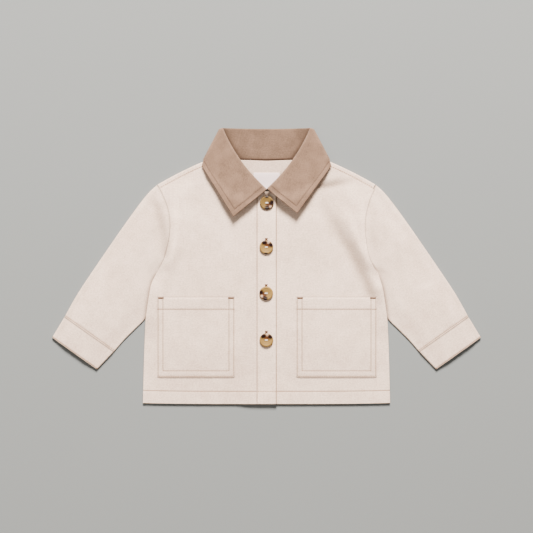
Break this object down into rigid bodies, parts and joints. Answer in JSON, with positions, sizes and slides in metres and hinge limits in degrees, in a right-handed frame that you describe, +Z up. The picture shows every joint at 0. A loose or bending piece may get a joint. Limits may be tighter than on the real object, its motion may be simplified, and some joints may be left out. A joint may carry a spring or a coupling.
{
  "type": "chore jacket",
  "caption": "Child's canvas chore jacket laid flat on its back, buttoned, with a turned-down collar, patch pockets and cuff bands.",
  "frame": {"origin": "on the surface the jacket lies on, below the middle of its width and length", "axes": "+Z up from the surface to the fronts, +Y from the hem towards the collar, +X towards the wearer's left"},
  "size_m": [0.5712, 0.3684, 0.0089],
  "materials": {
    "canvas": "matt",
    "collar": "brushed matt",
    "label": "matt",
    "button": "polished"
  },
  "bodies": {
    "root": {"back": "canvas", "front_right": "canvas", "front_left": "canvas", "placket": "canvas", "sleeve_right": "canvas", "sleeve_left": "canvas", "cuff_right": "canvas", "cuff_left": "canvas", "pocket_right": "canvas", "pocket_left": "canvas", "collar": "collar", "neck_label": "label", "button_1": "button", "button_2": "button", "button_3": "button", "button_4": "button"}
  },
  "joints": []
}
